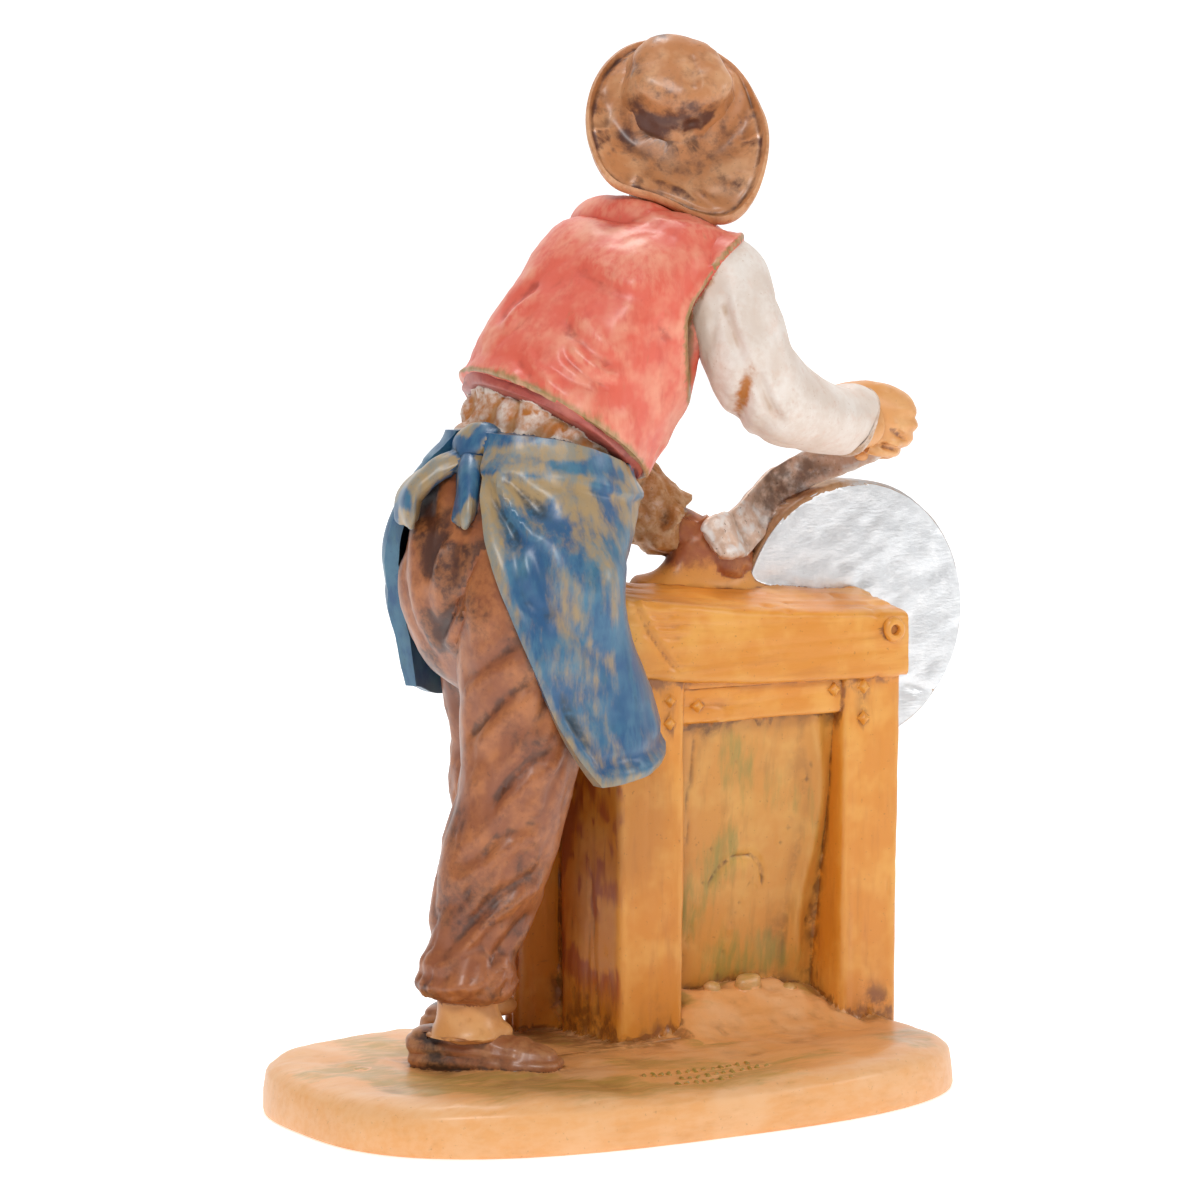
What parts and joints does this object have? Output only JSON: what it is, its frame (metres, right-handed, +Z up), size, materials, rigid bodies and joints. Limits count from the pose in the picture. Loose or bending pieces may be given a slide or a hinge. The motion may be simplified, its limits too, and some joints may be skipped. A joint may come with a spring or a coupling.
{
  "type": "presepe figure",
  "caption": "Moulded, painted presepe figure of a knife grinder in hat, vest and apron, bent over a bench and holding a blade on its wheel, on an oval ground base.",
  "frame": {"origin": "middle of the oval base's length and width, on its flat underside", "axes": "+X along the bench, away from the man; -Y the side of the bench with the rail and sunk panel; +Z up"},
  "size_m": [0.1417, 0.0748, 0.1761],
  "materials": {
    "painted_resin": "hand painted satin with washes"
  },
  "bodies": {
    "root": {"knife_grinder_figure": "painted_resin"}
  },
  "joints": []
}
